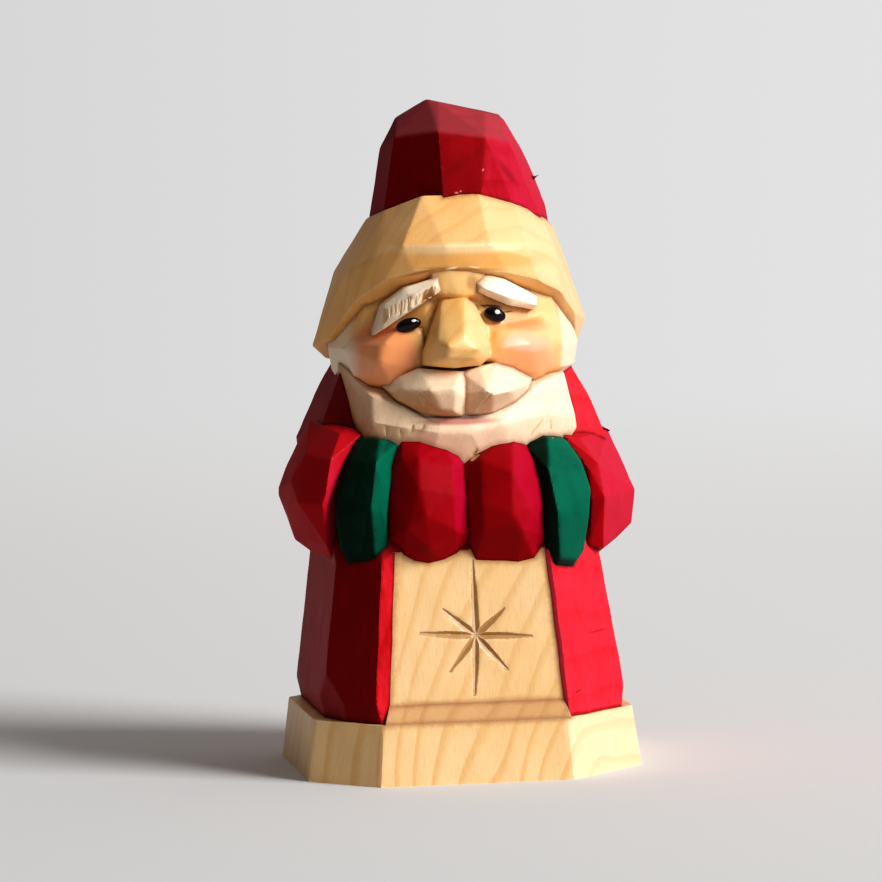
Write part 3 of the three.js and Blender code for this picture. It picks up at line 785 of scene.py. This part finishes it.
edge_left, edge_right = apron_left[0] + 0.1, apron_right[0] - 0.15
foot_face, ledge = apron_face(apron_foot), base_top["front"] + 0.02
shaped("apron_slope", slope_wood, [
    (edge_left, foot_face, apron_foot), (edge_right, foot_face, apron_foot),
    (edge_left - 0.9, ledge, 0), (edge_right + 0.7, ledge, 0),
    (edge_left, apron_root, apron_foot), (edge_right, apron_root, apron_foot),
    (edge_left, apron_root, -1), (edge_right, apron_root, -1)])


def v_cut(name, marks, wide, deep, finish):
    """A V cut. The marks are places along it, each with the share of its full width and depth."""
    groove = bmesh.new()
    run = Vector((marks[-1][0] - marks[0][0], 0, marks[-1][2] - marks[0][2])).normalized()
    for x, y, height, size in marks:
        flare = wide * size + overcut * wide / deep
        bmesh.ops.create_vert(groove, co=(x, y + deep * size, height))
        for side in (-1, 1):
            place = (x + side * run.z * flare, y - overcut, height - side * run.x * flare)
            bmesh.ops.create_vert(groove, co=place)
    flat_faces(groove)
    carved(groove, name, [finish], cuts)


for number, (angle, length) in enumerate(star_rays):
    east, up = math.cos(math.radians(angle)), math.sin(math.radians(angle))
    places = [(star_centre[0] + east * along, star_centre[1] + up * along, size)
              for along, size in ((-groove_wide, 1.0), (length * 0.5, 0.85), (length, 0.25))]
    v_cut(f"ray_{number}", [(x, apron_face(height), height, size) for x, height, size in places],
          groove_wide, groove_deep, dark_cut_wood)

# The finest cuts. They are the hairs of the right brow, and the nicks where the knife slipped on the beard
# and the moustache, made with the knife's point after the paint, so that the wood shows in them.
hair_count = 17
nicks = [((-8.4, 41.2), (-8.8, 39.9), 0.16), ((-6.9, 41.3), (-7.3, 40.4), 0.18),
         ((0.5, 37.5), (-0.4, 36.1), 0.22), ((10.4, 41.2), (8.5, 39.0), 0.09),
         ((11.6, 41.0), (11.7, 38.6), 0.09), ((-12.2, 41.2), (-12.0, 39.6), 0.1),
         ((-10.3, 40.9), (-10.0, 39.2), 0.1), ((2.2, 45.4), (0.2, 43.0), 0.12)]
fresh_cut = bare_wood("fresh_cut", (0.78, 0.54, 0.30), (0.66, 0.40, 0.18), (0.30, 0.12, 0.04), 0.2)
parts, sides = [], []
for form in forms.objects:
    sides += [[len(parts) + corner for corner in face.vertices] for face in form.data.polygons]
    parts += [vertex.co for vertex in form.data.vertices]
front = BVHTree.FromPolygons(parts, sides)


def fine_cut(name, start, end, wide, deep):
    """A cut between two places seen from the front, in millimetres from the middle and over the base."""
    marks = []
    for (x, height), size in ((start, 0.5), ([(a + b) / 2 for a, b in zip(start, end)], 1.0), (end, 0.4)):
        hit = front.ray_cast(Vector((x, -60, height + base_height)) * mm, Vector((0, 1, 0)))[0]
        marks.append((x, hit.y / mm, height, size))
    v_cut(name, marks, wide, deep, fresh_cut)


slips = random.Random(12)
for number in range(hair_count):
    x, height = -4.9 - number * 0.43, 60.9 - number * 0.2
    top = x + slips.uniform(-0.12, 0.12), height - slips.uniform(0.2, 0.6)
    bottom = top[0] - slips.uniform(0.0, 0.35), height - slips.uniform(1.5, 2.5)
    fine_cut(f"hair_{number}", top, bottom, 0.1, 0.18)
for number, (start, end, wide) in enumerate(nicks):
    fine_cut(f"nick_{number}", start, end, wide, wide * 1.6)

# One block. The forms are joined into the one piece of wood that the figure is, cut where the knife went in
# last, softened where a rag has rubbed them, and given the slight unevenness of hand-pared faces.
weld = 0.01 * mm  # corners closer than this become one
ridge_angle, groove_angle, fold_angle = 34, -20, 8  # degrees, from which an edge counts as one
probe_step = 0.15 * mm
probe_room = 400000
finest, coarsest = 0.43 * mm, 1.8 * mm  # the longest edges, beside a fold and far from any
flat_foot = 0.3 * mm  # the underside stays flat up to this height
groove_bed = 0.2 * mm  # what lies closer to a groove than this stays sharp
most_passes = 11
rounding = {"oiled_face": 4, "crimson_paint": 2, "dark_green_paint": 2,  # passes, where it isn't one
            "thin_white_wash": 2, "brow_white_wash": 2}
swellings = [(-12.1, 50.8, 4.6, 5.2), (8.0, 51.2, 6.4, 5.6), (-1.5, 60.8, 5.5, 3.8), (4.0, 54.5, 3.0, 5.5),
             (-8.2, 51.8, 0.9, 3.8)]
# The painted light is strongest on facets that face the first way, and the painted shade on those that face
# the second.
towards_right, painted_shade_towards = Vector((0.95, -0.17, 0.25)), Vector((-0.85, 0.10, -1.05))


def boolean(operation, others):
    cut = body.modifiers.new(f"step_{len(body.modifiers)}", "BOOLEAN")
    cut.operation = operation
    cut.solver = "EXACT"
    cut.operand_type = "COLLECTION"
    cut.collection = others
    cut.material_mode = "TRANSFER"


boolean("UNION", coat_only)
boolean("DIFFERENCE", let_in_only)
boolean("UNION", forms)
boolean("DIFFERENCE", cuts)
bpy.context.view_layer.update()
whole = bpy.data.meshes.new_from_object(body.evaluated_get(bpy.context.evaluated_depsgraph_get()))
figure = set_in(scene.collection, "carved_santa", whole)
for group in (forms, cuts, coat_only, let_in_only):
    for helper in group.objects[:]:
        bpy.data.objects.remove(helper)
    bpy.data.collections.remove(group)
bpy.data.objects.remove(body)

bm = bmesh.new()
bm.from_mesh(whole)
bmesh.ops.remove_doubles(bm, verts=bm.verts, dist=weld)
bmesh.ops.dissolve_degenerate(bm, edges=bm.edges, dist=weld)
bmesh.ops.triangulate(bm, faces=bm.faces)
finishes = [finish.name for finish in whole.materials]
face_only = {index for index, name in enumerate(finishes) if name == "oiled_face"}
cut_only = {index for index, name in enumerate(finishes) if name in ("dark_cut_wood", "fresh_cut")}


def swells(place):
    """Whether a place lies where the cheeks, the forehead and the nose run softly into one another."""
    x, height = place.x / mm, place.z / mm - base_height
    return place.y < -8 * mm and any(((x - east) / wide) ** 2 + ((height - up) / tall) ** 2 < 1
                                     for east, up, wide, tall in swellings)


ridges, grooves, folds = KDTree(probe_room), KDTree(probe_room), KDTree(probe_room)
for number, edge in enumerate(bm.edges):
    if len(edge.link_faces) != 2:
        continue
    angle = math.degrees(edge.calc_face_angle_signed(0.0))
    on_face = all(face.material_index in face_only for face in edge.link_faces)
    clean = all(face.material_index in cut_only for face in edge.link_faces)
    steps = max(1, int(edge.calc_length() / probe_step))
    for step in range(steps + 1):
        point = edge.verts[0].co.lerp(edge.verts[1].co, step / steps)
        if angle > ridge_angle:
            ridges.insert(point, number)
        if angle < groove_angle and not clean and not (on_face and swells(point)):
            grooves.insert(point, number)
        if abs(angle) > fold_angle:
            folds.insert(point, number)
for tree in (ridges, grooves, folds):
    tree.balance()


def too_long(edge):
    """Whether an edge is too long for the fine bends beside a fold, or for the open facets."""
    to_fold = folds.find((edge.verts[0].co + edge.verts[1].co) / 2)[2]
    return edge.calc_length() > min(finest + 0.75 * to_fold, coarsest)


for _ in range(most_passes):
    long_edges = [edge for edge in bm.edges if too_long(edge)]
    if not long_edges:
        break
    bmesh.ops.subdivide_edges(bm, edges=long_edges, cuts=1)
    bmesh.ops.triangulate(bm, faces=bm.faces)
twins = {}
bm.verts.index_update()
for face in bm.faces:
    twins.setdefault(tuple(sorted(corner.index for corner in face.verts)), []).append(face)
slivers = [face for faces in twins.values() for face in faces[len(faces) % 2:]]  # folded flat on themselves
bmesh.ops.delete(bm, geom=slivers, context="FACES")
bmesh.ops.delete(bm, geom=[vertex for vertex in bm.verts if not vertex.link_faces], context="VERTS")
passes = [rounding.get(name, 1) for name in finishes]
soft = {vertex: max(passes[face.material_index] for face in vertex.link_faces) for vertex in bm.verts
        if vertex.co.z > flat_foot and grooves.find(vertex.co)[2] > groove_bed}
for vertex in bm.verts:
    if swells(vertex.co) and all(face.material_index in face_only for face in vertex.link_faces):
        soft[vertex] = most_passes
for turn in range(most_passes):
    bmesh.ops.smooth_vert(bm, verts=[vertex for vertex, count in soft.items() if count > turn], factor=0.5,
                          use_axis_x=True, use_axis_y=True, use_axis_z=True)
bm.to_mesh(whole)
bm.free()
for name, tree in (("to_ridge", ridges), ("to_groove", grooves)):
    layer = whole.attributes.new(name, "FLOAT", "POINT")
    layer.data.foreach_set("value", [tree.find(vertex.co)[2] / mm for vertex in whole.vertices])
noise.seed_set(12)  # else the unevenness changes with the clock
for vertex in whole.vertices:
    broad = noise.noise_vector(vertex.co / (4.5 * mm)) * 0.08
    fine = noise.noise_vector(vertex.co / (1.6 * mm)) * 0.03
    if vertex.co.z > flat_foot:
        moved = vertex.co + (broad + fine) * mm
        vertex.co = [min(max(part, low), high) for part, low, high in zip(moved, foot, crest)]
whole.update()
whole.shade_smooth()
whole.set_sharp_from_angle(angle=math.radians(28))
# Painted light and shade, from the way each corner's facet faces. The first measure is painted light, high
# on facets that face the right and lower on those facing back or far left; the second is a painted sheen on
# the upper facets and on those facing far left; the third is painted shade on those facing left and down.
facing = [corner.vector.copy() for corner in whole.corner_normals]
for name, share in (
        ("painted_light", lambda way: max(0.0, min(0.9, way.dot(towards_right)), min(0.6, 0.85 * way.y),
                                        -3.0 * way.x - 2.65)),
        ("painted_sheen", lambda way: max(0.0, min(1.0, 2.0 * way.z - 0.6), min(0.95, -5.0 * way.x - 4.0))),
        ("painted_shade", lambda way: max(0.0, min(1.0, way.dot(painted_shade_towards))))):
    layer = whole.attributes.new(name, "FLOAT", "CORNER")
    layer.data.foreach_set("value", [share(way) for way in facing])
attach(figure, "root")
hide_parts("santa_figure")

# The studio. A plain pale floor that fades into the light, a low soft key from the front right, and a pale
# surround that is darker on the camera's side, as in a small photo box.
floor_in_painted_shade, floor_in_painted_light = (0.63, 0.635, 0.64), (0.72, 0.725, 0.73)
key_from = Vector((0.63, -0.57, 0.53))
floor = bpy.data.meshes.new("floor")
bm = bmesh.new()
bmesh.ops.create_circle(bm, segments=96, radius=1600 * mm, cap_ends=True)
bm.to_mesh(floor)
bm.free()
floor_piece = set_in(scene.collection, "floor", floor)
paper, tree, shader = new_finish("pale_paper", 0.8)
shader.inputs["Specular IOR Level"].default_value = 0.0
east = split(tree, place_in(tree))[0]
# The floor is painted darker towards the left, as painted shade where the light falls off.
shade = mixed(tree, between(tree, east, -130, 110), floor_in_painted_shade, floor_in_painted_light)
wire(tree, shader.inputs["Base Color"], shade)
output = next(node for node in tree.nodes if node.type == "OUTPUT_MATERIAL")
away = tree.nodes.new("ShaderNodeVectorMath")
away.operation = "LENGTH"
wire(tree, away.inputs[0], place_in(tree))
clear = tree.nodes.new("ShaderNodeBsdfTransparent")
fade = tree.nodes.new("ShaderNodeMixShader")
wire(tree, fade.inputs[0], between(tree, away.outputs["Value"], 250, 900))
tree.links.new(shader.outputs[0], fade.inputs[1])
tree.links.new(clear.outputs[0], fade.inputs[2])
tree.links.new(fade.outputs[0], output.inputs["Surface"])
floor.materials.append(paper)

key = bpy.data.lights.new("key", "SUN")
key.energy = 3.3
key.angle = math.radians(27)
key.color = (1.0, 0.99, 0.98)
key_lamp = set_in(scene.collection, "key", key)
key_lamp.rotation_euler = key_from.to_track_quat("Z", "Y").to_euler()

world = bpy.data.worlds.new("surround")
scene.world = world
world.use_nodes = True
tree = world.node_tree
backdrop = next(node for node in tree.nodes if node.type == "BACKGROUND")
east, north, up = split(tree, tree.nodes.new("ShaderNodeTexCoord").outputs["Generated"])
from_right = between(tree, east, 0.1, 0.9, 0.0, 0.30)
from_back = times(tree, between(tree, north, -0.1, 0.8, 0.0, 0.22),
                  between(tree, east, -0.8, 0.2, 0.35, 1.0))
from_above = between(tree, up, 0.2, 1.0, 0.0, 0.20)
around = maths(tree, "ADD", maths(tree, "ADD", from_right, from_back), maths(tree, "ADD", from_above, 0.05))
seen_directly = tree.nodes.new("ShaderNodeLightPath").outputs["Is Camera Ray"]
sweep = between(tree, east, -0.12, 0.32, 0.535, 0.66)
strength = maths(tree, "ADD", times(tree, seen_directly, sweep),
                 times(tree, maths(tree, "SUBTRACT", 1.0, seen_directly), around))
wire(tree, backdrop.inputs["Color"], mixed(tree, seen_directly, (1, 0.95, 0.90), (1, 1, 1)))
wire(tree, backdrop.inputs["Strength"], strength)

# The camera stands a little to the figure's right and just above level, with a long lens. It leans a little
# to one side.
lens = bpy.data.cameras.new("camera")
lens.sensor_width = 36
lens.lens = 200
lens.clip_start, lens.clip_end = 0.01, 10
camera = set_in(scene.collection, "camera", lens)
azimuth, elevation, lean, distance = math.radians(-9), math.radians(4), math.radians(1.2), 700 * mm
back = Vector((math.sin(azimuth) * math.cos(elevation), -math.cos(azimuth) * math.cos(elevation),
               math.sin(elevation)))
target = Vector((-1.7, 0, 46)) * mm
aimed = (-back).to_track_quat("-Z", "Y").to_matrix().to_4x4()
camera.matrix_world = Matrix.Translation(target + back * distance) @ aimed @ Matrix.Rotation(-lean, 4, "Z")
scene.camera = camera
scene.view_settings.view_transform = "Standard"
scene.view_settings.look = "Medium High Contrast"
